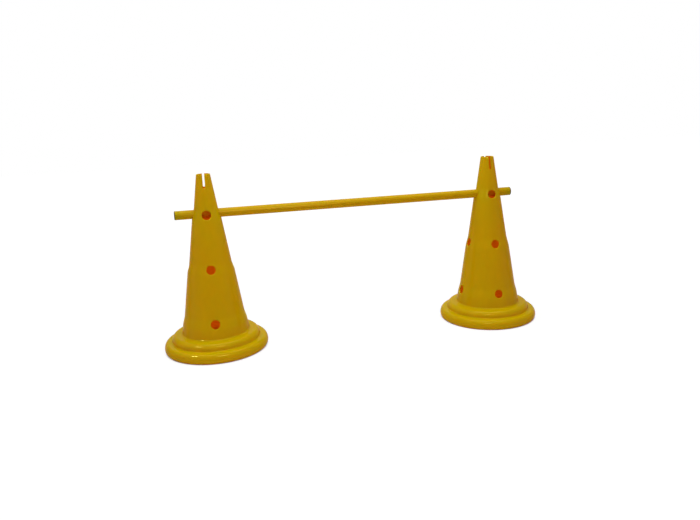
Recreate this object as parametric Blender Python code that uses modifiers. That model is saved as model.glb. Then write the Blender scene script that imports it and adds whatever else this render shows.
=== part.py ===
"""Training hurdle: a round pole carried between two hollow, drilled marker cones.

Metres, +Z up. The cones stand on z = 0 at equal distances from the origin, and the pole
lies along X in the side holes of their top row. The front of the hurdle faces -Y.
"""
import math

import bmesh
import bpy

# Cone body
CONE_HEIGHT = 0.500
TOP_RADIUS = 0.019
FOOT_RADIUS = 0.0949
WALL = 0.0025
RIM_ROUND = 0.0009
SHOULDER_STEP = 0.0032
SHOULDER_HEIGHT = 0.026

# Rows of four holes, square to each other
ROWS = 3
BOTTOM_ROW_HEIGHT = 0.0915
TOP_ROW_DROP = 0.1105
HOLE_CLEARANCE = 0.0008

# Slot across the open top, from front to back
SLOT_WIDTH = 0.006
SLOT_DEPTH = 0.038

# Base flange, in two rounded tiers
FLANGE_WIDTH = 0.0519
OUTER_TIER_WIDTH = 0.0228
INNER_TIER_HEIGHT = 0.0482
OUTER_TIER_HEIGHT = 0.0277
INNER_TIER_FLAT = 0.0156
OUTER_TIER_FLAT = 0.0115
WIDEST_HEIGHT = 0.0105
FOOT_FILLET = 0.0055
GROOVE_FILLET = 0.0035
UNDERSIDE_CURL = 0.0068
LAND_WIDTH = 0.005

# Pole
POLE_LENGTH = 1.000
POLE_DIAMETER = 0.025
TUBE_WALL = 0.002
LEFT_OVERHANG = 0.0871
RIGHT_OVERHANG = 0.0739
POLE_ROW = ROWS - 1

# Push-in end caps
CAP_THICKNESS = 0.002
CAP_ROUND = 0.0007
CAP_DEPTH = 0.015
CAP_WALL = 0.0015
FIN_HEIGHT = 0.0011
FIN_WIDTH = 0.0015
FIN_PITCH = 0.0045
FINS = 3

# Clearances
SEAT_GAP = 0.0003
FIT_GAP = 0.0003

# Facets
CONE_STEPS = 48
HOLE_SIDES = 24
POLE_STEPS = 32
OUTER_ARC_STEPS = 5
INNER_ARC_STEPS = 2
FILLET_STEPS = 2
ROUND_STEPS = 1
SLOT_ARC_STEPS = 8
MERGE_DISTANCE = 0.00001

# Sizes that follow from the ones above
BASE_RADIUS = FOOT_RADIUS + FLANGE_WIDTH
TAPER = (FOOT_RADIUS - TOP_RADIUS - ROWS * SHOULDER_STEP) / (CONE_HEIGHT - INNER_TIER_HEIGHT)
TAPER_ANGLE = math.atan(TAPER)
ROW_SPACING = (CONE_HEIGHT - TOP_ROW_DROP - BOTTOM_ROW_HEIGHT) / (ROWS - 1)
ROW_HEIGHTS = [BOTTOM_ROW_HEIGHT + row * ROW_SPACING for row in range(ROWS)]
POLE_RADIUS = POLE_DIAMETER / 2
HOLE_RADIUS = POLE_RADIUS + HOLE_CLEARANCE / 2
CONE_SPACING = POLE_LENGTH - LEFT_OVERHANG - RIGHT_OVERHANG
LEFT_CONE_X = -CONE_SPACING / 2
RIGHT_CONE_X = CONE_SPACING / 2
POLE_LEFT_X = LEFT_CONE_X - LEFT_OVERHANG
POLE_CENTRE_X = POLE_LEFT_X + POLE_LENGTH / 2
POLE_HEIGHT = ROW_HEIGHTS[POLE_ROW] - (HOLE_RADIUS - POLE_RADIUS - SEAT_GAP)
TUBE_LENGTH = POLE_LENGTH - 2 * (CAP_THICKNESS + FIT_GAP)
BORE_RADIUS = POLE_RADIUS - TUBE_WALL
CUTTER_LENGTH = 2 * BASE_RADIUS

YELLOW_MOULDING = ("yellow_polyethylene", (0.62, 0.40, 0.010, 1.0), 0.38)
YELLOW_TUBE = ("yellow_tube", (0.64, 0.42, 0.012, 1.0), 0.32)
BLACK_PLASTIC = ("black_plastic", (0.018, 0.017, 0.015, 1.0), 0.55)


def clear_scene():
    """Remove whatever the scene holds, such as the start-up cube."""
    for item in list(bpy.data.objects):
        bpy.data.objects.remove(item, do_unlink=True)


def make_collection(name):
    """A new collection in the scene."""
    group = bpy.data.collections.new(name)
    bpy.context.scene.collection.children.link(group)
    return group


def make_material(name, colour, roughness):
    """A plain plastic with its own colour and roughness."""
    material = bpy.data.materials.new(name)
    material.use_nodes = True
    shader = material.node_tree.nodes["Principled BSDF"]
    shader.inputs["Base Color"].default_value = colour
    shader.inputs["Roughness"].default_value = roughness
    shader.inputs["Metallic"].default_value = 0.0
    return material


def make_empty(name, location, group):
    """A reference point that pieces are parented to."""
    empty = bpy.data.objects.new(name, None)
    empty.location = location
    empty.empty_display_size = BASE_RADIUS
    group.objects.link(empty)
    return empty


def arc(centre, half_width, half_height, start, end, steps):
    """Points along an elliptical arc about centre, from start to end in radians."""
    points = []
    for step in range(steps + 1):
        angle = start + (end - start) * step / steps
        radius = centre[0] + half_width * math.cos(angle)
        height = centre[1] + half_height * math.sin(angle)
        points.append((radius, height))
    return points


def without_repeats(points):
    """The same points, less any that falls on the one before it."""
    kept = [points[0]]
    for point in points[1:]:
        if math.dist(point, kept[-1]) > MERGE_DISTANCE:
            kept.append(point)
    return kept


def body_radius(height):
    """Outer radius of the body: a straight taper, stepped out over each row of holes."""
    radius = TOP_RADIUS + TAPER * (CONE_HEIGHT - height)
    for row in ROW_HEIGHTS:
        share = (row + SHOULDER_HEIGHT / 2 - height) / SHOULDER_HEIGHT
        radius += SHOULDER_STEP * min(max(share, 0.0), 1.0)
    return radius


def body_outline():
    """The body's outer side from under the rim to above the foot, at its shoulders' edges."""
    points = []
    for row in reversed(ROW_HEIGHTS):
        for height in (row + SHOULDER_HEIGHT / 2, row - SHOULDER_HEIGHT / 2):
            points.append((body_radius(height), height))
    return points


def flange_outline(arc_steps):
    """The flange's outer side, from the fillet at the body's foot to the land it stands on."""
    inner_tier_radius = BASE_RADIUS - OUTER_TIER_WIDTH
    tangent_height = INNER_TIER_HEIGHT + FOOT_FILLET * (1 - math.sin(TAPER_ANGLE))
    fillet_centre = (body_radius(tangent_height) + FOOT_FILLET * math.cos(TAPER_ANGLE),
                     INNER_TIER_HEIGHT + FOOT_FILLET)
    points = arc(fillet_centre, FOOT_FILLET, FOOT_FILLET, math.pi + TAPER_ANGLE, 1.5 * math.pi, FILLET_STEPS)

    crown_start = FOOT_RADIUS + INNER_TIER_FLAT
    crown_foot = OUTER_TIER_HEIGHT + GROOVE_FILLET
    points += arc((crown_start, crown_foot), inner_tier_radius - crown_start,
                  INNER_TIER_HEIGHT - crown_foot, math.pi / 2, 0.0, arc_steps)
    points += arc((inner_tier_radius + GROOVE_FILLET, crown_foot), GROOVE_FILLET, GROOVE_FILLET,
                  math.pi, 1.5 * math.pi, ROUND_STEPS)

    crown_start = inner_tier_radius + OUTER_TIER_FLAT
    points += arc((crown_start, WIDEST_HEIGHT), BASE_RADIUS - crown_start,
                  OUTER_TIER_HEIGHT - WIDEST_HEIGHT, math.pi / 2, 0.0, arc_steps)
    points += arc((BASE_RADIUS - UNDERSIDE_CURL, WIDEST_HEIGHT), UNDERSIDE_CURL, WIDEST_HEIGHT,
                  0.0, -math.pi / 2, INNER_ARC_STEPS)
    points.append((BASE_RADIUS - UNDERSIDE_CURL - LAND_WIDTH, 0.0))
    return points


def offset_inwards(points, distance):
    """The outline moved towards the hollow by distance, mitred where it turns."""
    moved = []
    for index, (radius, height) in enumerate(points):
        before = points[max(index - 1, 0)]
        after = points[min(index + 1, len(points) - 1)]
        normals = []
        for start, end in ((before, (radius, height)), ((radius, height), after)):
            length = math.dist(start, end)
            if length > 0:
                normals.append(((end[1] - start[1]) / length, (start[0] - end[0]) / length))
        across = sum(normal[0] for normal in normals) / len(normals)
        up = sum(normal[1] for normal in normals) / len(normals)
        scale = distance / (across * across + up * up)
        moved.append((radius + across * scale, height + up * scale))
    return moved


def cone_profile():
    """Closed section of the shell: down the outer side, round the land and up the inner side."""
    outer_top = body_radius(CONE_HEIGHT)
    inner_top = outer_top - WALL / math.cos(TAPER_ANGLE)
    rim_height = CONE_HEIGHT - RIM_ROUND
    outer_rim = arc((outer_top - RIM_ROUND, rim_height), RIM_ROUND, RIM_ROUND,
                    math.pi / 2, 0.0, ROUND_STEPS)
    inner_rim = arc((inner_top + RIM_ROUND, rim_height), RIM_ROUND, RIM_ROUND,
                    math.pi, math.pi / 2, ROUND_STEPS)
    outer_side = without_repeats(body_outline() + flange_outline(OUTER_ARC_STEPS))
    inner_side = without_repeats(body_outline() + flange_outline(INNER_ARC_STEPS))
    inner_side = offset_inwards(inner_side, WALL)
    return outer_rim + outer_side + inner_side[::-1] + inner_rim


def turn_profile(name, profile, steps, closed, group):
    """A piece turned about its own Z from a profile of (radius, height) points."""
    mesh = bpy.data.meshes.new(name)
    vertices = [(radius, 0.0, height) for radius, height in profile]
    edges = [(index, index + 1) for index in range(len(profile) - 1)]
    if closed:
        edges.append((len(profile) - 1, 0))
    mesh.from_pydata(vertices, edges, [])
    piece = bpy.data.objects.new(name, mesh)
    group.objects.link(piece)
    screw = piece.modifiers.new("turned", "SCREW")
    screw.steps = steps
    screw.render_steps = steps
    screw.use_merge_vertices = True
    screw.merge_threshold = MERGE_DISTANCE
    screw.use_smooth_shade = True
    return piece


def mark_as_cutter(piece):
    """Show a cutter as wire and leave it out of the model."""
    piece.display_type = "WIRE"
    piece.hide_render = True


def hole_cutter(name, cone_x, height, turn, group):
    """A round bar through both walls of a cone, along Y, or along X when turned a quarter."""
    mesh = bpy.data.meshes.new(name)
    shape = bmesh.new()
    bmesh.ops.create_cone(shape, cap_ends=True, segments=HOLE_SIDES, radius1=HOLE_RADIUS,
                          radius2=HOLE_RADIUS, depth=CUTTER_LENGTH)
    shape.to_mesh(mesh)
    shape.free()
    cutter = bpy.data.objects.new(name, mesh)
    cutter.location = (cone_x, 0.0, height)
    cutter.rotation_euler = (math.pi / 2, 0.0, turn)
    group.objects.link(cutter)
    mark_as_cutter(cutter)
    return cutter


def slot_cutter(name, cone_x, group):
    """A plate with a round lower end, standing across the top of a cone from front to back."""
    half = SLOT_WIDTH / 2
    floor = CONE_HEIGHT - SLOT_DEPTH
    above = CONE_HEIGHT + SLOT_WIDTH
    outline = [(half, above), (-half, above)]
    outline += arc((0.0, floor + half), half, half, -math.pi, 0.0, SLOT_ARC_STEPS)

    curve = bpy.data.curves.new(name, "CURVE")
    curve.dimensions = "2D"
    curve.fill_mode = "BOTH"
    curve.extrude = 2 * body_radius(floor)
    spline = curve.splines.new("POLY")
    spline.points.add(len(outline) - 1)
    for point, (across, up) in zip(spline.points, outline):
        point.co = (across, up, 0.0, 1.0)
    spline.use_cyclic_u = True
    sketch = bpy.data.objects.new(name + "_outline", curve)
    sketch.location = (cone_x, 0.0, 0.0)
    sketch.rotation_euler = (math.pi / 2, 0.0, 0.0)
    group.objects.link(sketch)

    bpy.context.view_layer.update()
    evaluated = sketch.evaluated_get(bpy.context.evaluated_depsgraph_get())
    mesh = bpy.data.meshes.new_from_object(evaluated)
    plate = bmesh.new()
    plate.from_mesh(mesh)
    bmesh.ops.remove_doubles(plate, verts=plate.verts, dist=MERGE_DISTANCE)
    bmesh.ops.recalc_face_normals(plate, faces=plate.faces)
    plate.to_mesh(mesh)
    plate.free()
    cutter = bpy.data.objects.new(name, mesh)
    cutter.matrix_world = sketch.matrix_world
    group.objects.link(cutter)
    bpy.data.objects.remove(sketch, do_unlink=True)
    mark_as_cutter(cutter)
    return cutter


def cut(piece, cutter):
    """Take the cutter's shape out of the piece."""
    boolean = piece.modifiers.new(cutter.name, "BOOLEAN")
    boolean.operation = "DIFFERENCE"
    boolean.solver = "EXACT"
    boolean.object = cutter


def make_cone(name, cone_x, material, parts, cutters):
    """One moulded cone: the turned shell, its rows of holes and the slot across its top."""
    stand = make_empty(name + "_stand", (cone_x, 0.0, 0.0), parts)
    cone = turn_profile(name, cone_profile(), CONE_STEPS, True, parts)
    cone.data.materials.append(material)
    cone.parent = stand
    for row, height in enumerate(ROW_HEIGHTS):
        for direction, turn in (("front_back", 0.0), ("side_side", math.pi / 2)):
            cutter_name = f"{name}_{direction}_{row}"
            cut(cone, hole_cutter(cutter_name, cone_x, height, turn, cutters))
    cut(cone, slot_cutter(name + "_slot", cone_x, cutters))
    return cone


def cap_profile():
    """Half section of an end cap, from the middle of its face round to the inside of its barrel."""
    fin_radius = BORE_RADIUS - FIT_GAP
    barrel_radius = fin_radius - FIN_HEIGHT
    points = [(0.0, CAP_THICKNESS)]
    points += arc((POLE_RADIUS - CAP_ROUND, CAP_THICKNESS - CAP_ROUND), CAP_ROUND, CAP_ROUND,
                  math.pi / 2, 0.0, ROUND_STEPS)
    points += [(POLE_RADIUS, 0.0), (barrel_radius, 0.0)]
    for fin in range(FINS):
        top = -FIN_PITCH * (fin + 0.5)
        points += [(barrel_radius, top), (fin_radius, top - FIN_WIDTH / 2), (barrel_radius, top - FIN_WIDTH)]
    points += [(barrel_radius, -CAP_DEPTH), (barrel_radius - CAP_WALL, -CAP_DEPTH),
               (barrel_radius - CAP_WALL, 0.0), (0.0, 0.0)]
    return points


def make_pole(tube_material, cap_material, parts):
    """The tube and the black cap pushed into each of its ends, all on the pole's own axis."""
    axis = make_empty("pole_axis", (POLE_CENTRE_X, 0.0, POLE_HEIGHT), parts)
    half = TUBE_LENGTH / 2
    section = [(POLE_RADIUS, half), (POLE_RADIUS, -half), (BORE_RADIUS, -half), (BORE_RADIUS, half)]
    tube = turn_profile("pole_tube", section, POLE_STEPS, True, parts)
    tube.data.materials.append(tube_material)
    tube.rotation_euler = (0.0, math.pi / 2, 0.0)
    tube.parent = axis
    for side, direction in (("left", -1), ("right", 1)):
        cap = turn_profile(f"end_cap_{side}", cap_profile(), POLE_STEPS, False, parts)
        cap.data.materials.append(cap_material)
        cap.rotation_euler = (0.0, direction * math.pi / 2, 0.0)
        cap.location = (direction * (POLE_LENGTH / 2 - CAP_THICKNESS), 0.0, 0.0)
        cap.parent = axis


def build():
    """Make every piece of the hurdle."""
    clear_scene()
    parts = make_collection("training_hurdle")
    cutters = make_collection("cutters")
    moulding = make_material(*YELLOW_MOULDING)
    make_cone("cone_left", LEFT_CONE_X, moulding, parts, cutters)
    make_cone("cone_right", RIGHT_CONE_X, moulding, parts, cutters)
    make_pole(make_material(*YELLOW_TUBE), make_material(*BLACK_PLASTIC), parts)


build()
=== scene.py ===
"""Looks of the training hurdle: two moulded marker cones that carry a pole with push-in end caps.

Every size is in metres. The cones stand on z = 0, the pole lies along X, and the front of
the hurdle faces -Y, as in the CAD model.
"""
import math

import bmesh
import bpy
import numpy as np
from mathutils import Matrix, Vector


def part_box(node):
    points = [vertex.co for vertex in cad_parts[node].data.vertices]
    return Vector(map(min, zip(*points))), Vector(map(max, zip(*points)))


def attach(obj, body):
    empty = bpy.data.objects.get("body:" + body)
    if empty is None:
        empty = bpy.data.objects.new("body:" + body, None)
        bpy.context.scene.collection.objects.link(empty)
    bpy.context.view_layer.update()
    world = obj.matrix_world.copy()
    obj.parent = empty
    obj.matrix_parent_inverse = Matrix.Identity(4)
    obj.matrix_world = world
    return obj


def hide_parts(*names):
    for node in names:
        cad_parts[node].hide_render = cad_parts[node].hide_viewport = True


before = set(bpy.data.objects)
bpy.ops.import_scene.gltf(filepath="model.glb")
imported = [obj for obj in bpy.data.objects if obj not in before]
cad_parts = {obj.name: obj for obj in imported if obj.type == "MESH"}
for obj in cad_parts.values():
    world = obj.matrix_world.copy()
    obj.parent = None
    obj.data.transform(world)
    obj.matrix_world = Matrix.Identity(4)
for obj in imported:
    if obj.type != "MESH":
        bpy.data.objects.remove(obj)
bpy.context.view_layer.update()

# Cone body, as in the CAD model
CONE_HEIGHT = 0.500
TOP_RADIUS = 0.019
FOOT_RADIUS = 0.0949
WALL = 0.0025
RIM_ROUND = 0.0009
SHOULDER_STEP = 0.0032
SHOULDER_HEIGHT = 0.026
SHOULDER_ROUNDING = 0.35
ROW_HEIGHTS = (0.3895, 0.2405, 0.0915)
HOLE_RADIUS = 0.0129
SLOT_WIDTH = 0.006
SLOT_DEPTH = 0.038

# Base flange, in two rounded tiers
BASE_RADIUS = 0.1468
OUTER_TIER_WIDTH = 0.0228
INNER_TIER_HEIGHT = 0.0482
OUTER_TIER_HEIGHT = 0.0277
INNER_TIER_FLAT = 0.0156
OUTER_TIER_FLAT = 0.0115
WIDEST_HEIGHT = 0.0105
FOOT_FILLET = 0.0055
GROOVE_FILLET = 0.0035
UNDERSIDE_CURL = 0.0068
LAND_WIDTH = 0.005
LAND_ROUND = 0.0006

# Edges that the drill and the saw leave in the cone, broken by hand
HOLE_EDGE = 0.0004
SLOT_EDGE = 0.0003

# Pole and end caps
POLE_LENGTH = 1.000
POLE_RADIUS = 0.0125
TUBE_WALL = 0.002
TUBE_EDGE = 0.0004
CAP_THICKNESS = 0.002
CAP_ROUND = 0.0007
CAP_DOME = 0.0004
CAP_DEPTH = 0.015
CAP_WALL = 0.0015
FIN_HEIGHT = 0.0011
FIN_WIDTH = 0.0015
FIN_PITCH = 0.0045
FINS = 3
FIT_GAP = 0.0003

# Grid of a cone's side. A hole's block reaches BLOCK_CELLS from its centre, and the hole
# takes the HOLE_CELLS nearest to it. The slot's block does the same from the slot's foot.
COLUMNS = 160
BLOCK_CELLS = 14
HOLE_CELLS = 7
BLOCK_HALF = 0.020
SLOT_BLOCK_CELLS = 10
SLOT_CELLS = 4
SLOT_BLOCK_DEPTH = 0.020
# Rows of cells over the rim, down to the slot's foot, above each row of blocks, and below them
RIM_ROWS = 4
SLOT_ROWS = 12
ROWS_BETWEEN = (7, 16, 16)
FOOT_ROWS = 4
# Steps along a curve of the flange, over its trimmed corner, and over a cut's rounded edge
FLANGE_STEPS = 16
CORNER_STEPS = 3
EDGE_STEPS = 3
# Quarters of a turn at which the slot crosses the rim: the back and the front
SLOT_QUARTERS = (1, 3)
# The slot's rounded edges shrink where the wall is thinner than this many of them
SLOT_EASING = 4

# Grid of the pole and its caps
TUBE_COLUMNS = 96
TUBE_STATIONS = 41
TUBE_EDGE_STEPS = 4
CAP_FACE_ROWS = 8
CAP_EDGE_STEPS = 5

# Points nearer than this become one, and edges sharper than this many degrees stay sharp
WELD = 0.000001
CREASE = 50
CAP_CREASE = 40

# Material slots of a cone's faces
SKIN = 0
INSIDE = 1
CUT = 2

# Worked out from the values above: the taper, the wall's thickness measured level, the grid's
# steps, and the heights of the slot's foot and of the rim's rounding
TAPER = ((FOOT_RADIUS - TOP_RADIUS - len(ROW_HEIGHTS) * SHOULDER_STEP)
         / (CONE_HEIGHT - INNER_TIER_HEIGHT))
TAPER_ANGLE = math.atan(TAPER)
LEVEL_WALL = WALL / math.cos(TAPER_ANGLE)
QUARTER = COLUMNS // 4
CELL_ANGLE = 2 * math.pi / COLUMNS
SLOT_FOOT = CONE_HEIGHT - SLOT_DEPTH + SLOT_WIDTH / 2
RIM_HEIGHT = CONE_HEIGHT - RIM_ROUND


def arc(centre, half_width, half_height, start, end, steps):
    """Points (radius, height) on an ellipse: centre plus half_width cos t and half_height sin t,
    for t from start to end."""
    t = np.linspace(start, end, steps + 1)
    return np.stack((centre[0] + half_width * np.cos(t), centre[1] + half_height * np.sin(t)), 1)


def rounded_ramp(x):
    """0 before 0, x up to 1, and 1 after it, averaged over a short window so that both corners
    are round: the difference of the ramp's integral at the window's two ends, over its width."""
    def area(v):
        return np.clip(v, 0, 1) ** 2 / 2 + np.maximum(v - 1, 0)
    half = SHOULDER_ROUNDING / 2
    return (area(x + half) - area(x - half)) / SHOULDER_ROUNDING


def outer_radius(height):
    """The body's outside: a straight taper from the rim, plus one step over each row of holes."""
    radius = TOP_RADIUS + TAPER * (CONE_HEIGHT - height)
    for row in ROW_HEIGHTS:
        radius = radius + SHOULDER_STEP * rounded_ramp((row - height) / SHOULDER_HEIGHT + 0.5)
    return radius


def inner_radius(height):
    """The body's inside: the outside less the wall, measured level."""
    return outer_radius(height) - LEVEL_WALL


def body_heights():
    """Heights of the grid's rows down the body: even steps between the slot's foot, the edges of
    the blocks round the holes, and the foot of the body."""
    stops = [(RIM_HEIGHT, 0), (SLOT_FOOT, SLOT_ROWS),
             (SLOT_FOOT - SLOT_BLOCK_DEPTH, SLOT_BLOCK_CELLS)]
    for row, cells in zip(ROW_HEIGHTS, ROWS_BETWEEN):
        stops += [(row + BLOCK_HALF, cells), (row - BLOCK_HALF, 2 * BLOCK_CELLS)]
    stops.append((INNER_TIER_HEIGHT + FOOT_FILLET, FOOT_ROWS))
    runs = [np.linspace(before[0], after[0], after[1] + 1)[1:]
            for before, after in zip(stops, stops[1:])]
    return np.concatenate([[RIM_HEIGHT], *runs])


def flange_outline(steps):
    """The flange's outside, from the fillet at the body's foot to the land it stands on: fillet,
    crown of the inner tier, groove, crown of the outer tier and the curl under it."""
    groove = BASE_RADIUS - OUTER_TIER_WIDTH
    tangent = INNER_TIER_HEIGHT + FOOT_FILLET * (1 - math.sin(TAPER_ANGLE))
    fillet = (outer_radius(tangent) + FOOT_FILLET * math.cos(TAPER_ANGLE),
              INNER_TIER_HEIGHT + FOOT_FILLET)
    inner_crown = (FOOT_RADIUS + INNER_TIER_FLAT, OUTER_TIER_HEIGHT + GROOVE_FILLET)
    groove_fillet = (groove + GROOVE_FILLET, inner_crown[1])
    outer_crown = (groove + OUTER_TIER_FLAT, WIDEST_HEIGHT)
    curl = (BASE_RADIUS - UNDERSIDE_CURL, WIDEST_HEIGHT)
    quarter = math.pi / 2
    return np.concatenate((
        arc(fillet, FOOT_FILLET, FOOT_FILLET, math.pi + TAPER_ANGLE, 3 * quarter, steps // 2),
        arc(inner_crown, groove - inner_crown[0], INNER_TIER_HEIGHT - inner_crown[1],
            quarter, 0, steps),
        arc(groove_fillet, GROOVE_FILLET, GROOVE_FILLET, math.pi, 3 * quarter, steps // 2)[1:],
        arc(outer_crown, BASE_RADIUS - outer_crown[0], OUTER_TIER_HEIGHT - WIDEST_HEIGHT,
            quarter, 0, steps),
        arc(curl, UNDERSIDE_CURL, WIDEST_HEIGHT, 0, -quarter, steps)[1:],
        [(curl[0] - LAND_WIDTH + LAND_ROUND, 0.0)]))


def offset_inwards(outline, distance):
    """The outline moved towards the hollow: each point less distance times the outward normal,
    which is the curve's direction turned a quarter."""
    along = np.gradient(outline, axis=0)
    along /= np.linalg.norm(along, axis=1, keepdims=True)
    return outline + distance * np.stack((along[:, 1], -along[:, 0]), 1)


def section(inside):
    """Rows (radius, height) down one side of the shell, from the middle of the rim to the middle
    of the trimmed edge under the flange."""
    sign = -1 if inside else 1
    side_radius = inner_radius if inside else outer_radius
    rim_side = TOP_RADIUS - (LEVEL_WALL if inside else 0)
    rim_middle = TOP_RADIUS - LEVEL_WALL / 2
    rim = arc((rim_side - sign * RIM_ROUND, RIM_HEIGHT), sign * RIM_ROUND, RIM_ROUND,
              math.pi / 2, 0, RIM_ROWS)[:-1]
    heights = body_heights()
    body = np.stack((side_radius(heights), heights), 1)
    flange = flange_outline(FLANGE_STEPS // 2 if inside else FLANGE_STEPS)
    if inside:
        flange = offset_inwards(flange, WALL)
    edge = BASE_RADIUS - UNDERSIDE_CURL - LAND_WIDTH
    edge_height = WALL - LAND_ROUND if inside else LAND_ROUND
    corner = arc((edge + LAND_ROUND, edge_height), LAND_ROUND, sign * LAND_ROUND,
                 1.5 * math.pi, math.pi, CORNER_STEPS)[1:]
    return np.concatenate(([(rim_middle, CONE_HEIGHT)], rim, body, flange, corner,
                           [(edge, WALL / 2)]))


def ring_places(across, up):
    """Where each grid point of a block lies on its square ring. Returns the ring's number, the
    point's place on the ring scaled to a unit square, and the angle of the point of a circle
    that is as far round as the point is round the square."""
    ring = np.maximum(np.abs(across), np.abs(up))
    x, y = across / np.maximum(ring, 1), up / np.maximum(ring, 1)
    eighths = np.select([x == 1, y == 1, x == -1, y == -1], [y, 2 - x, 4 - y, 6 + x], 0)
    return ring, x, y, eighths * math.pi / 4


def bend_round_opening(grid, rows, columns, up, limits, size, centre, side_radius):
    """Bend a block of the grid so that one square ring of it becomes the edge of an opening.
    Each ring is a mix of the opening's round edge, whose share falls from 1 at the opening to 0
    at the block's edge, and of the block's own square edge. Limits are the rings of the block's
    edge and of the opening, and size is the opening's half width, then the block's half angle
    and half height. A centre of None means the slot: rows above its foot keep their height, so
    that its sides run straight up over the rim."""
    angle, height, radius, opened = grid
    cells, first = limits
    half_width, half_angle, half_height = size
    across = np.arange(-cells, cells + 1)[None, :]
    ring, x, y, turn = ring_places(across, np.minimum(up, 0) if centre is None else up)
    share = np.clip((cells - ring) / (cells - first), 0, 1)
    place = np.ix_(rows, columns)
    straight = (up > 0) & (centre is None)
    middle = np.where(straight, height[place], SLOT_FOOT if centre is None else centre)
    edge_height = middle + half_width * np.sin(turn)
    edge_radius = np.where(straight, radius[place], side_radius(edge_height))
    edge_angle = np.arcsin(half_width * np.cos(turn) / edge_radius)
    bent = middle + share * (edge_height - middle) + (1 - share) * y * half_height
    block_middle = columns[cells] * CELL_ANGLE
    angle[place] = block_middle + share * edge_angle + (1 - share) * x * half_angle
    height[place] = bent
    radius[place] = np.where(straight, radius[place], side_radius(bent))
    opened[place] |= ring <= first


def cone_side(inside):
    """One side of the shell as a grid of points, rows down the section and columns round the
    axis, with the cells inside the holes and the slot left out. The rim's rows are a cut face."""
    rows = section(inside)
    side_radius = inner_radius if inside else outer_radius
    shape = (len(rows), COLUMNS)
    radius = np.broadcast_to(rows[:, :1], shape).copy()
    height = np.broadcast_to(rows[:, 1:], shape).copy()
    angle = np.broadcast_to(np.arange(COLUMNS) * CELL_ANGLE, shape).copy()
    opened = np.zeros(shape, bool)
    grid = (angle, height, radius, opened)
    steps = np.arange(-BLOCK_CELLS, BLOCK_CELLS + 1)
    hole_size = (HOLE_RADIUS + HOLE_EDGE, BLOCK_CELLS * CELL_ANGLE, BLOCK_HALF)
    for row in ROW_HEIGHTS:
        middle = int(np.argmin(np.abs(rows[:, 1] - row)))
        for quarter in range(4):
            columns = (quarter * QUARTER + steps) % COLUMNS
            bend_round_opening(grid, middle + steps, columns, -steps[:, None],
                               (BLOCK_CELLS, HOLE_CELLS), hole_size, row, side_radius)
    foot = int(np.argmin(np.abs(rows[:, 1] - SLOT_FOOT)))
    slot_rows = np.arange(0, foot + SLOT_BLOCK_CELLS + 1)
    slot_steps = np.arange(-SLOT_BLOCK_CELLS, SLOT_BLOCK_CELLS + 1)
    slot_size = (SLOT_WIDTH / 2 + SLOT_EDGE, SLOT_BLOCK_CELLS * CELL_ANGLE, SLOT_BLOCK_DEPTH)
    for quarter in SLOT_QUARTERS:
        bend_round_opening(grid, slot_rows, quarter * QUARTER + slot_steps,
                           (foot - slot_rows)[:, None], (SLOT_BLOCK_CELLS, SLOT_CELLS),
                           slot_size, None, side_radius)
    points = np.stack((radius * np.cos(angle), radius * np.sin(angle), height), -1)
    corners = np.stack([np.roll(opened, -shift, 1) for shift in (0, 1)])
    kept = ~(corners[:, :-1].all(0) & corners[:, 1:].all(0))
    finish = np.full(kept.shape, INSIDE if inside else SKIN)
    finish[:RIM_ROWS] = CUT
    return grid_faces(points, kept, wrap=True, flip=inside, finish=finish[kept])


def opening_frame(quarter, across, depth, height):
    """Points from their place in an opening's own frame: depth from the cone's axis towards the
    opening, across it, and height."""
    turn = quarter * math.pi / 2
    return np.stack((depth * math.cos(turn) - across * math.sin(turn),
                     depth * math.sin(turn) + across * math.cos(turn), height), -1)


def edge_rows(edge):
    """The wall's thickness at an opening, in rows from outside to inside: how far each row has
    closed in over the rounded edge, as a share of it, and its depth from the nearer side."""
    t = np.linspace(0, math.pi / 2, EDGE_STEPS + 1)
    closed, depth = np.sin(t), edge * (1 - np.cos(t))
    return np.concatenate((closed, closed[::-1])), np.concatenate((depth, depth[::-1]))


def hole_wall(row, quarter):
    """The drilled hole's own wall: a cylinder along the drill, from the circle where it leaves
    the outside to the one on the inside, with both edges rounded over."""
    columns = 8 * HOLE_CELLS
    turn = np.arange(columns) * 2 * math.pi / columns
    closed, depth = edge_rows(HOLE_EDGE)
    hole = HOLE_RADIUS + HOLE_EDGE * (1 - closed[:, None])
    across, height = hole * np.cos(turn), row + hole * np.sin(turn)
    outside = np.sqrt(outer_radius(height) ** 2 - across ** 2)
    inside = np.sqrt(inner_radius(height) ** 2 - across ** 2)
    from_axis = np.where(np.arange(len(closed))[:, None] < len(closed) // 2,
                         outside - depth[:, None], inside + depth[:, None])
    points = opening_frame(quarter, across, from_axis, height)
    return grid_faces(points, None, wrap=True, flip=True, finish=CUT)


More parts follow.
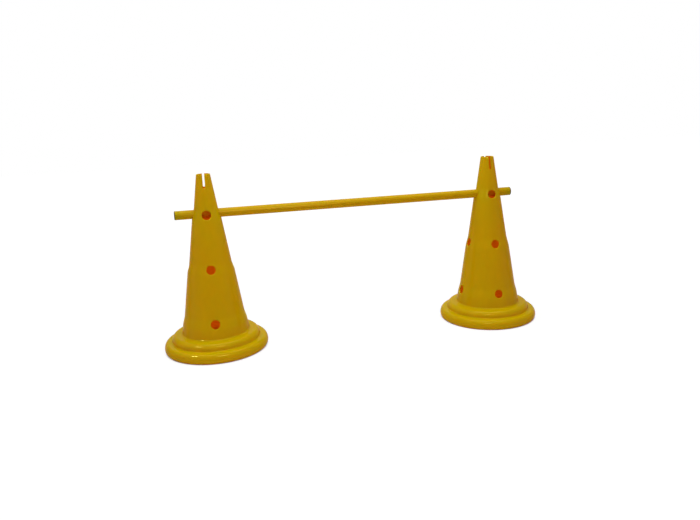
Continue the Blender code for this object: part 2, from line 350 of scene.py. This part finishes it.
def slot_wall(quarter):
    """The slot's cut face: a path down one side, round the slot's foot and up the other, laid
    across the wall from its outside to its inside, with both edges rounded over."""
    closed, depth = edge_rows(SLOT_EDGE)
    sides = [section(False), section(True)]
    foot = int(np.argmin(np.abs(sides[0][:, 1] - SLOT_FOOT)))
    steps = 4 * SLOT_CELLS
    turn = -math.pi + np.arange(1, steps) * math.pi / steps
    straight = [side[:foot + 1] for side in sides]
    heights = straight[0][:, 1]
    facing = np.concatenate((np.full(foot + 1, -1.0), np.cos(turn), np.full(foot + 1, 1.0)))
    drop = np.concatenate((np.zeros(foot + 1), np.sin(turn), np.zeros(foot + 1)))
    middle = np.concatenate((heights, np.full(len(turn), SLOT_FOOT), heights[::-1]))
    rim_radius = [np.concatenate((side[:, 0], np.full(len(turn), np.nan), side[::-1, 0]))
                  for side in straight]
    half = SLOT_WIDTH / 2 + SLOT_EDGE

    def wall_depth(side, width):
        """How far from the axis the wall's outside, side 0, or its inside, side 1, lies at each
        point of the path."""
        height = middle + width * drop
        side_radius = (outer_radius, inner_radius)[side](height)
        radius = np.where(np.isnan(rim_radius[side]), side_radius, rim_radius[side])
        return np.sqrt(radius ** 2 - (width * facing) ** 2)

    thickness = wall_depth(0, half) - wall_depth(1, half)
    easing = np.clip(thickness / (SLOT_EASING * SLOT_EDGE), 0, 1)
    width = half - SLOT_EDGE * closed[:, None] * easing
    across, height = width * facing, middle + width * drop
    outer_half = np.arange(len(closed))[:, None] < len(closed) // 2
    from_axis = np.where(outer_half, wall_depth(0, width) - depth[:, None] * easing,
                         wall_depth(1, width) + depth[:, None] * easing)
    points = opening_frame(quarter, across, from_axis, height)
    return grid_faces(points, None, wrap=False, flip=True, finish=CUT)


def grid_faces(points, kept, wrap, flip, finish=SKIN):
    """A grid of points, its four-sided faces, one for each cell that is kept, and their finish.
    Kept is None where all of them are, wrap joins the last column to the first, and flip turns
    the faces over."""
    rows, columns = points.shape[:2]
    index = np.arange(rows * columns).reshape(rows, columns)
    right = np.roll(index, -1, 1)
    cells = np.stack((index[:-1], index[1:], right[1:], right[:-1]), -1)
    if not wrap:
        cells = cells[:, :-1]
    faces = cells.reshape(-1, 4) if kept is None else cells[kept]
    if flip:
        faces = faces[:, ::-1]
    return points.reshape(-1, 3), faces, np.broadcast_to(finish, len(faces))


def weld_piece(name, patches, shift, crease):
    """One closed mesh from grids that share their edges. The points that they have in common
    are merged, which also closes a cap's face where its rows meet on the axis."""
    grids, cells, finishes = zip(*patches)
    starts = np.cumsum([0] + [len(grid) for grid in grids[:-1]])
    points = np.concatenate(grids) + np.asarray(shift)
    faces = np.concatenate([cell + start for cell, start in zip(cells, starts)])
    used, faces = np.unique(faces, return_inverse=True)
    mesh = bpy.data.meshes.new(name)
    mesh.from_pydata(points[used], [], faces.reshape(-1, 4))
    mesh.polygons.foreach_set("material_index", np.concatenate(finishes).astype(np.int32))
    shape = bmesh.new()
    shape.from_mesh(mesh)
    bmesh.ops.remove_doubles(shape, verts=shape.verts, dist=WELD)
    shape.to_mesh(mesh)
    shape.free()
    mesh.shade_smooth()
    mesh.set_sharp_from_angle(angle=math.radians(crease))
    piece = bpy.data.objects.new(name, mesh)
    bpy.context.scene.collection.objects.link(piece)
    return piece


def make_cone(name, centre_x):
    """A moulded cone: the two sides of its shell, the walls of its twelve holes and of its slot."""
    patches = [cone_side(inside=False), cone_side(inside=True)]
    patches += [hole_wall(row, quarter) for row in ROW_HEIGHTS for quarter in range(4)]
    patches += [slot_wall(quarter) for quarter in SLOT_QUARTERS]
    return weld_piece(name, patches, (centre_x, 0.0, 0.0), CREASE)


def turn_along_pole(outline, facing, flip):
    """A profile of (radius, distance along the pole) turned round the pole's axis. Facing -1
    turns its distances towards the left, and flip turns the faces over."""
    turn = np.arange(TUBE_COLUMNS) * 2 * math.pi / TUBE_COLUMNS
    radius, along = outline[:, :1], np.broadcast_to(outline[:, 1:], (len(outline), TUBE_COLUMNS))
    points = np.stack((facing * along, radius * np.cos(turn), radius * np.sin(turn)), -1)
    return grid_faces(points, None, wrap=True, flip=flip)


def tube_section():
    """The tube's closed section: along the outside, over a rounded edge, down the end, and back
    along the bore."""
    end = POLE_LENGTH / 2 - CAP_THICKNESS - FIT_GAP - TUBE_EDGE
    bore = POLE_RADIUS - TUBE_WALL
    stations = np.linspace(-end, end, TUBE_STATIONS)
    outside = np.stack((np.full(TUBE_STATIONS, POLE_RADIUS), stations), 1)
    inside = np.stack((np.full(TUBE_STATIONS, bore), stations[::-1]), 1)
    outer, inner, quarter = POLE_RADIUS - TUBE_EDGE, bore + TUBE_EDGE, math.pi / 2
    corners = [arc((radius, along), TUBE_EDGE, TUBE_EDGE, turn * quarter, (turn + 1) * quarter,
                   TUBE_EDGE_STEPS)
               for radius, along, turn in ((outer, end, 0), (inner, end, 1),
                                           (inner, -end, 2), (outer, -end, -1))]
    return np.concatenate((outside, corners[0][1:], corners[1],
                           inside[1:], corners[2][1:], corners[3]))


def cap_section():
    """An end cap's half section, from the middle of its face: a slightly domed face, a rounded
    rim, and a barrel with fins that fits the bore. A fin is a foot, a crest and a foot."""
    fin_radius = POLE_RADIUS - TUBE_WALL - FIT_GAP
    barrel = fin_radius - FIN_HEIGHT
    rim = POLE_RADIUS - CAP_ROUND
    radius = np.linspace(0, rim, CAP_FACE_ROWS + 1)[:-1]
    face = np.stack((radius, CAP_THICKNESS - CAP_DOME * (radius / rim) ** 2), 1)
    edge = arc((rim, CAP_THICKNESS - CAP_DOME - CAP_ROUND), CAP_ROUND, CAP_ROUND,
               math.pi / 2, 0, CAP_EDGE_STEPS)
    fins = [(barrel + FIN_HEIGHT * crest, -FIN_PITCH * (fin + 0.5) - FIN_WIDTH * step / 2)
            for fin in range(FINS) for step, crest in enumerate((0, 1, 0))]
    return np.concatenate((face, edge, [(POLE_RADIUS, 0.0), (barrel, 0.0)], fins,
                           [(barrel, -CAP_DEPTH), (barrel - CAP_WALL, -CAP_DEPTH),
                            (barrel - CAP_WALL, 0.0), (0.0, 0.0)]))


def linear(hex_colour):
    """A colour written as sRGB hex, turned to the linear values that shaders take, with the
    numbers of the sRGB standard."""
    values = np.array([int(hex_colour[place:place + 2], 16) for place in (1, 3, 5)]) / 255
    values = np.where(values <= 0.04045, values / 12.92, ((values + 0.055) / 1.055) ** 2.4)
    return (*values.tolist(), 1.0)


def grey(level):
    """A grey, from black at 0 to white at 1, as shaders take it."""
    return (level, level, level, 1.0)


def add(tree, kind, settings=None, inputs=None):
    """Add a node of that kind. Settings are its properties, and inputs are its sockets, each
    given a value or another node's output."""
    node = tree.nodes.new(kind)
    for name, value in (settings or {}).items():
        setattr(node, name, value)
    for name, value in (inputs or {}).items():
        if isinstance(value, bpy.types.NodeSocket):
            tree.links.new(value, node.inputs[name])
        else:
            node.inputs[name].default_value = value
    return node


def new_material(name):
    """A material, its empty node tree, and the output node put in that."""
    material = bpy.data.materials.new(name)
    material.use_nodes = True
    material.node_tree.nodes.clear()
    return material, material.node_tree, material.node_tree.nodes.new("ShaderNodeOutputMaterial")


# A plastic's gloss seen face on and edge on, the part of the turn from one to the other over
# which it falls, and its tint
PLASTIC_IOR = 1.51
GLOSS_LEVEL = (0.5, 0.03)
GLOSS_FALL = (0.15, 0.45)
GLOSS_TINT = "#FFE468"
# Values of a noise, and of the sum of two, over which a tone or a roughness is spread
NOISE_RANGE = (0.3, 0.7)
TWO_NOISES_RANGE = (0.75, 1.25)

# Pigment clouds in polyethylene, and the flow lines that run down the moulding from its top.
# Real flow lines are 1 to 2 mm apart, and are drawn wider so that they show.
CLOUD_SIZE = 0.060
FLOW_PITCH = 0.006
FLOW_STRETCH = 16
# Shallow waves where the moulding cooled unevenly: they break a lamp's reflection into streaks
WAVE_SIZE = 0.014
WAVE_DEPTH = 0.00012
# Share of the light that passes through each finish of a cone, below and above the two heights
# of THINNING, and through the tube. A blown cone's wall is thinner towards its top. The modelled
# wall is even, and is only drawn as if it thinned there.
SKIN_GLOW = (0.58, 0.55)
INSIDE_GLOW = (0.66, 0.84)
CUT_GLOW = (0.30, 0.34)
THINNING = (0.27, 0.36)
TUBE_GLOW = 0.50
# Lines that the die leaves along the tube, and the tube's least and most roughness
DIE_PITCH = 0.003
DIE_STRETCH = 60
DIE_DEPTH = 0.00001
TUBE_GLOSS = (0.28, 0.38)
# Size and depth of the caps' grain, their least and most roughness, and their gloss
CAP_GRAIN = (0.0007, 0.00003)
CAP_GLOSS = (0.50, 0.65)
CAP_LEVEL = 0.2


def light_through(tree, output, pigment, haze, surface, glow_colour, share):
    """A plastic that lets light through: a glossy skin of the pigment's colour, and a share of
    light scattered through the wall. The gloss falls away at grazing angles, where the white
    backdrop would otherwise lie as a pale sheen on the flange."""
    facing = add(tree, "ShaderNodeLayerWeight", inputs={
        "Blend": 0.5, "Normal": surface.outputs[0]})
    gloss = add(tree, "ShaderNodeMapRange", inputs={
        "Value": facing.outputs["Facing"], "From Min": GLOSS_FALL[0], "From Max": GLOSS_FALL[1],
        "To Min": GLOSS_LEVEL[0], "To Max": GLOSS_LEVEL[1]})
    skin = add(tree, "ShaderNodeBsdfPrincipled", inputs={
        "Base Color": pigment.outputs["Result"], "Roughness": haze.outputs[0],
        "IOR": PLASTIC_IOR, "Specular IOR Level": gloss.outputs[0],
        "Specular Tint": linear(GLOSS_TINT), "Normal": surface.outputs[0]})
    glow = add(tree, "ShaderNodeBsdfTranslucent", inputs={
        "Color": linear(glow_colour), "Normal": surface.outputs[0]})
    mix = add(tree, "ShaderNodeMixShader", inputs={
        0: share, 1: skin.outputs[0], 2: glow.outputs[0]})
    tree.links.new(mix.outputs[0], output.inputs["Surface"])


def polyethylene(name, tones, glow_colour, share, gloss, grain):
    """Polyethylene, in the two tones of its pigment's clouds. It is waxy and lets light through: a
    thin wall glows orange with the light behind it, which fills the hollow seen in the holes and
    turns the shaded sides from yellow towards orange. Share is the part of the light that passes
    through, low down and at the top, gloss its least and most roughness, and grain the size and
    the depth of its texture."""
    material, tree, output = new_material(name)
    place = add(tree, "ShaderNodeTexCoord").outputs["Object"]
    clouds = add(tree, "ShaderNodeTexNoise", inputs={
        "Vector": place, "Scale": 1 / CLOUD_SIZE, "Detail": 3.0})
    down = add(tree, "ShaderNodeMapping", inputs={
        "Vector": place, "Scale": (1, 1, 1 / FLOW_STRETCH)})
    flow = add(tree, "ShaderNodeTexNoise", inputs={
        "Vector": down.outputs[0], "Scale": 1 / FLOW_PITCH, "Detail": 2.0})
    patches = add(tree, "ShaderNodeMath", {"operation": "ADD"}, {
        0: clouds.outputs["Fac"], 1: flow.outputs["Fac"]})
    tone = add(tree, "ShaderNodeMapRange", inputs={
        "Value": patches.outputs[0],
        "From Min": TWO_NOISES_RANGE[0], "From Max": TWO_NOISES_RANGE[1]})
    pigment = add(tree, "ShaderNodeMix", {"data_type": "RGBA"}, {
        "Factor": tone.outputs[0], 6: linear(tones[0]), 7: linear(tones[1])})
    haze = add(tree, "ShaderNodeMapRange", inputs={
        "Value": flow.outputs["Fac"], "From Min": NOISE_RANGE[0], "From Max": NOISE_RANGE[1],
        "To Min": gloss[0], "To Max": gloss[1]})
    waves = add(tree, "ShaderNodeTexNoise", inputs={
        "Vector": place, "Scale": 1 / WAVE_SIZE, "Detail": 1.0})
    waved = add(tree, "ShaderNodeBump", inputs={
        "Strength": 1.0, "Distance": WAVE_DEPTH, "Height": waves.outputs["Fac"]})
    texture = add(tree, "ShaderNodeTexNoise", inputs={
        "Vector": place, "Scale": 1 / grain[0], "Detail": 2.0})
    surface = add(tree, "ShaderNodeBump", inputs={
        "Strength": 1.0, "Distance": grain[1], "Height": texture.outputs["Fac"],
        "Normal": waved.outputs[0]})
    height = add(tree, "ShaderNodeSeparateXYZ", inputs={0: place})
    thinning = add(tree, "ShaderNodeMapRange", inputs={
        "Value": height.outputs["Z"], "From Min": THINNING[0], "From Max": THINNING[1],
        "To Min": share[0], "To Max": share[1]})
    light_through(tree, output, pigment, haze, surface, glow_colour, thinning.outputs[0])
    return material


def moulded_polyethylene():
    """The cones' skin, moulded against polished steel: a soft gloss over a faint texture. The
    real texture is about 0.4 mm, and is drawn at 2 mm so that it shows."""
    return polyethylene("moulded_polyethylene", tones=("#E1F500", "#E5F900"),
                        glow_colour="#FFA200", share=SKIN_GLOW,
                        gloss=(0.10, 0.18), grain=(0.002, 0.000005))


def inside_polyethylene_painted_glow():
    """The cones' inside, moulded on a blasted core: the same plastic without its gloss, with its
    tones painted a deeper orange than the skin's as a painted glow of the light that comes through
    the walls, so that the hollow reads as one deep orange. The real grain is 0.3 mm, and is drawn
    at 2 mm."""
    # Tones painted deeper orange than the skin's: a painted glow of the light through the walls
    return polyethylene("cored_polyethylene_painted_glow", tones=("#FFE400", "#FFE800"),
                        glow_colour="#FFA900", share=INSIDE_GLOW,
                        gloss=(0.60, 0.70), grain=(0.002, 0.00004))


def drilled_polyethylene():
    """The faces that the drill and the saw left: matt, a little paler, with fine tool marks. The
    real marks are 0.2 mm apart, and are drawn at 0.8 mm so that they show."""
    return polyethylene("drilled_polyethylene", tones=("#E7F312", "#EBF724"),
                        glow_colour="#FFA600", share=CUT_GLOW,
                        gloss=(0.55, 0.70), grain=(0.0008, 0.00006))


def extruded_tube():
    """PVC tube, extruded: stiff and glossier than the cones, with faint lines along it from the
    die. Real die lines are about 0.5 mm apart, and are drawn at 3 mm so that they show."""
    material, tree, output = new_material("extruded_pvc")
    place = add(tree, "ShaderNodeTexCoord").outputs["Object"]
    along = add(tree, "ShaderNodeMapping", inputs={
        "Vector": place, "Scale": (1 / DIE_STRETCH, 1, 1)})
    lines = add(tree, "ShaderNodeTexNoise", inputs={
        "Vector": along.outputs[0], "Scale": 1 / DIE_PITCH, "Detail": 3.0, "Roughness": 0.6})
    tone = add(tree, "ShaderNodeMapRange", inputs={
        "Value": lines.outputs["Fac"], "From Min": NOISE_RANGE[0], "From Max": NOISE_RANGE[1]})
    pigment = add(tree, "ShaderNodeMix", {"data_type": "RGBA"}, {
        "Factor": tone.outputs[0], 6: linear("#E4DB00"), 7: linear("#E7DE00")})
    haze = add(tree, "ShaderNodeMapRange", inputs={
        "Value": lines.outputs["Fac"], "From Min": NOISE_RANGE[0], "From Max": NOISE_RANGE[1],
        "To Min": TUBE_GLOSS[0], "To Max": TUBE_GLOSS[1]})
    surface = add(tree, "ShaderNodeBump", inputs={
        "Strength": 1.0, "Distance": DIE_DEPTH, "Height": lines.outputs["Fac"]})
    light_through(tree, output, pigment, haze, surface, "#FFA000", TUBE_GLOW)
    return material


def moulded_black():
    """Black polyethylene caps, moulded in a spark-eroded tool: satin, nearly without shine. The
    real grain is 0.15 mm, and is drawn at 0.7 mm so that it shows."""
    material, tree, output = new_material("moulded_black_polyethylene")
    place = add(tree, "ShaderNodeTexCoord").outputs["Object"]
    grain = add(tree, "ShaderNodeTexNoise", inputs={
        "Vector": place, "Scale": 1 / CAP_GRAIN[0], "Detail": 2.0})
    tone = add(tree, "ShaderNodeMix", {"data_type": "RGBA"}, {
        "Factor": grain.outputs["Fac"], 6: linear("#14120D"), 7: linear("#1F1C14")})
    haze = add(tree, "ShaderNodeMapRange", inputs={
        "Value": grain.outputs["Fac"], "From Min": NOISE_RANGE[0], "From Max": NOISE_RANGE[1],
        "To Min": CAP_GLOSS[0], "To Max": CAP_GLOSS[1]})
    surface = add(tree, "ShaderNodeBump", inputs={
        "Strength": 1.0, "Distance": CAP_GRAIN[1], "Height": grain.outputs["Fac"]})
    skin = add(tree, "ShaderNodeBsdfPrincipled", inputs={
        "Base Color": tone.outputs["Result"], "Roughness": haze.outputs[0],
        "IOR": PLASTIC_IOR, "Specular IOR Level": CAP_LEVEL, "Normal": surface.outputs[0]})
    tree.links.new(skin.outputs[0], output.inputs["Surface"])
    return material


def finish_piece(piece, materials, body, slot, *nodes):
    """Give a piece its materials, its body and the CAD nodes that it stands for. The slot is not
    used.
    """
    for material in materials:
        piece.data.materials.append(material)
    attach(piece, body)
    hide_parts(*nodes)


# Camera at the photograph's place, worked out from the outlines of the cones and the pole. Its
# angles are in radians, its focus and shift in the photograph's pixels, and its sensor in mm.
CAMERA_PLACE = (-0.3970, -1.8563, 0.6851)
CAMERA_YAW = 0.2114
CAMERA_PITCH = 0.1982
CAMERA_ROLL = -0.0412
CAMERA_FOCUS = 656.87
CAMERA_SHIFT = (4.64, -28.80)
PHOTO_WIDTH = 700
SENSOR_WIDTH = 36.0


def make_camera():
    """The camera: looking along yaw and pitch, then rolled about that line."""
    ahead = Vector((math.sin(CAMERA_YAW) * math.cos(CAMERA_PITCH),
                    math.cos(CAMERA_YAW) * math.cos(CAMERA_PITCH), -math.sin(CAMERA_PITCH)))
    level = Vector((math.cos(CAMERA_YAW), -math.sin(CAMERA_YAW), 0.0))
    upright = level.cross(ahead)
    right = math.cos(CAMERA_ROLL) * level + math.sin(CAMERA_ROLL) * upright
    up = math.cos(CAMERA_ROLL) * upright - math.sin(CAMERA_ROLL) * level
    data = bpy.data.cameras.new("camera")
    data.sensor_width = SENSOR_WIDTH
    data.lens = CAMERA_FOCUS * SENSOR_WIDTH / PHOTO_WIDTH
    data.shift_x = -CAMERA_SHIFT[0] / PHOTO_WIDTH
    data.shift_y = CAMERA_SHIFT[1] / PHOTO_WIDTH
    camera = bpy.data.objects.new("camera", data)
    facing = Matrix((right, up, -ahead)).transposed().to_4x4()
    camera.matrix_world = Matrix.Translation(CAMERA_PLACE) @ facing
    bpy.context.scene.collection.objects.link(camera)
    bpy.context.scene.camera = camera


# Where the lamps point: the middle of the hurdle, or the front of the left cone's flange
LAMP_TARGET = (0.0, 0.0, 0.2)
LEFT_FLANGE = (-0.42, -0.05, 0.03)


def make_lamp(name, place, size, power, gloss_only=False, target=LAMP_TARGET, spread=180):
    """A soft box: a rectangular area light at a place, turned to a target, with its light spread
    over an angle in degrees, and its power in watts. One for gloss only is a catch light, which
    shows in a shiny surface and adds nothing to its colour."""
    data = bpy.data.lights.new(name, "AREA")
    data.shape = "RECTANGLE"
    data.size, data.size_y = size
    data.energy = power
    data.spread = math.radians(spread)
    lamp = bpy.data.objects.new(name, data)
    lamp.visible_diffuse = lamp.visible_transmission = not gloss_only
    aim = (Vector(target) - Vector(place)).to_track_quat("-Z", "Y")
    lamp.matrix_world = Matrix.Translation(place) @ aim.to_matrix().to_4x4()
    bpy.context.scene.collection.objects.link(lamp)


def backdrop_rays(tree):
    """1 for the rays that see the background: from the camera, off a gloss or through a clear
    material. Light that a wall scatters on its way through counts as both transmission and
    diffuse, and is left out, so that the white background doesn't light the cones' insides."""
    path = add(tree, "ShaderNodeLightPath")
    either = add(tree, "ShaderNodeMath", {"operation": "MAXIMUM"}, {
        0: path.outputs["Is Camera Ray"], 1: path.outputs["Is Glossy Ray"]})
    clear = add(tree, "ShaderNodeMath", {"operation": "SUBTRACT"}, {
        0: path.outputs["Is Transmission Ray"], 1: path.outputs["Is Diffuse Ray"]})
    return add(tree, "ShaderNodeMath", {"operation": "MAXIMUM"}, {
        0: either.outputs[0], 1: clear.outputs[0]}).outputs[0]


# Light: the world's level for everything but the background, the floor's shades, and the
# distances from the middle between which its glow rises to full white
WORLD_LEVEL = 0.135
FLOOR_PAPER = 0.7
FLOOR_GLOW = 0.9
FLOOR_SHADOW = 0.13
SHADOW_REACH = (0.8, 1.6)
# How far up the floor looks for something over it, the shares of open space between which it
# turns from covered to open, and the rays it looks with
COVER_REACH = 0.30
COVERED = (0.30, 0.50)
COVER_SAMPLES = 8
FLOOR_REACH = 6.0
FLOOR_GAP = 0.0002


def make_surroundings():
    """A world that is white where it is seen and dimmer as light, and a pale floor. Seen from the
    camera the floor is white, but for a faint shadow near the object: its own glow rises to
    full white away from the hurdle, and the rest of the light on it counts for little. Under a
    cone, where nearly nothing is open above it, it is plain paper, so that the holes show no
    white spot."""
    world = bpy.data.worlds.new("studio")
    world.use_nodes = True
    tree = world.node_tree
    tree.nodes.clear()
    level = add(tree, "ShaderNodeMix", {"data_type": "FLOAT"}, {
        "Factor": backdrop_rays(tree), "A": WORLD_LEVEL, "B": 1.0})
    sky = add(tree, "ShaderNodeBackground", inputs={
        "Color": grey(1), "Strength": level.outputs[0]})
    add(tree, "ShaderNodeOutputWorld", inputs={"Surface": sky.outputs[0]})
    bpy.context.scene.world = world

    material, tree, output = new_material("studio_floor")
    place = add(tree, "ShaderNodeTexCoord").outputs["Object"]
    distance = add(tree, "ShaderNodeVectorMath", {"operation": "LENGTH"}, {0: place})
    glow = add(tree, "ShaderNodeMapRange", inputs={
        "Value": distance.outputs["Value"], "From Min": SHADOW_REACH[0],
        "From Max": SHADOW_REACH[1], "To Min": FLOOR_GLOW, "To Max": 1.0})
    paper = add(tree, "ShaderNodeBsdfDiffuse", inputs={"Color": grey(FLOOR_PAPER)})
    faint = add(tree, "ShaderNodeBsdfDiffuse", inputs={"Color": grey(FLOOR_SHADOW)})
    white = add(tree, "ShaderNodeEmission", inputs={
        "Color": grey(1), "Strength": glow.outputs[0]})
    seen = add(tree, "ShaderNodeAddShader", inputs={0: faint.outputs[0], 1: white.outputs[0]})
    open_above = add(tree, "ShaderNodeAmbientOcclusion", {"samples": COVER_SAMPLES}, {
        "Distance": COVER_REACH})
    outside = add(tree, "ShaderNodeMapRange", inputs={
        "Value": open_above.outputs["AO"], "From Min": COVERED[0], "From Max": COVERED[1]})
    white_seen = add(tree, "ShaderNodeMath", {"operation": "MULTIPLY"}, {
        0: backdrop_rays(tree), 1: outside.outputs[0]})
    mix = add(tree, "ShaderNodeMixShader", inputs={
        0: white_seen.outputs[0], 1: paper.outputs[0], 2: seen.outputs[0]})
    tree.links.new(mix.outputs[0], output.inputs["Surface"])
    mesh = bpy.data.meshes.new("floor")
    corners = [(FLOOR_REACH * x, FLOOR_REACH * y, -FLOOR_GAP)
               for x, y in ((-1, -1), (1, -1), (1, 1), (-1, 1))]
    mesh.from_pydata(corners, [], [(0, 1, 2, 3)])
    floor = bpy.data.objects.new("floor", mesh)
    floor.data.materials.append(material)
    bpy.context.scene.collection.objects.link(floor)


skin = moulded_polyethylene()
# The inside's material carries a painted orange glow in its tones
inside_skin_painted_glow = inside_polyethylene_painted_glow()
cut_face = drilled_polyethylene()
for cone in ("cone_left", "cone_right"):
    low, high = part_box(cone)
    moulding = make_cone(cone + "_moulding", (low.x + high.x) / 2)
    finish_piece(moulding, (skin, inside_skin_painted_glow, cut_face), cone, "cone_plastic", cone)

low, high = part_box("pole_tube")
pole_axis = (low + high) / 2
tube = weld_piece("pole_tube_extrusion", [turn_along_pole(tube_section(), 1, flip=True)],
                  pole_axis, CREASE)
finish_piece(tube, (extruded_tube(),), "pole_tube", "pole_plastic", "pole_tube")
black = moulded_black()
for side, facing in (("left", -1), ("right", 1)):
    end = pole_axis + Vector((facing * (POLE_LENGTH / 2 - CAP_THICKNESS), 0, 0))
    shape = turn_along_pole(cap_section(), facing, flip=facing < 0)
    cap = weld_piece(f"end_cap_{side}_moulding", [shape], end, CAP_CREASE)
    finish_piece(cap, (black,), "pole_caps", "cap_plastic", f"end_cap_{side}")

make_camera()
make_surroundings()
# Two large soft boxes above and behind, two small ones from the camera's side, and two catch
# lights for the streaks on the flanges. The left one is narrow, so that it leaves no bright spot
# on the right cone.
make_lamp("overhead", (0.0, 0.1, 3.3), (3.4, 2.0), 92)
make_lamp("front", (-0.15, -1.5, 1.2), (0.55, 0.15), 2.7)
make_lamp("left", (-1.6, -0.75, 1.25), (0.45, 0.15), 2.2)
make_lamp("rear", (0.0, 1.9, 1.3), (2.4, 1.0), 7)
make_lamp("front_catch", (-0.15, -1.49, 1.19), (0.50, 0.12), 12, gloss_only=True)
make_lamp("left_catch", (-1.59, -0.74, 1.24), (0.45, 0.12), 1.1, gloss_only=True,
          target=LEFT_FLANGE, spread=38)

bpy.context.scene.view_settings.view_transform = "Standard"
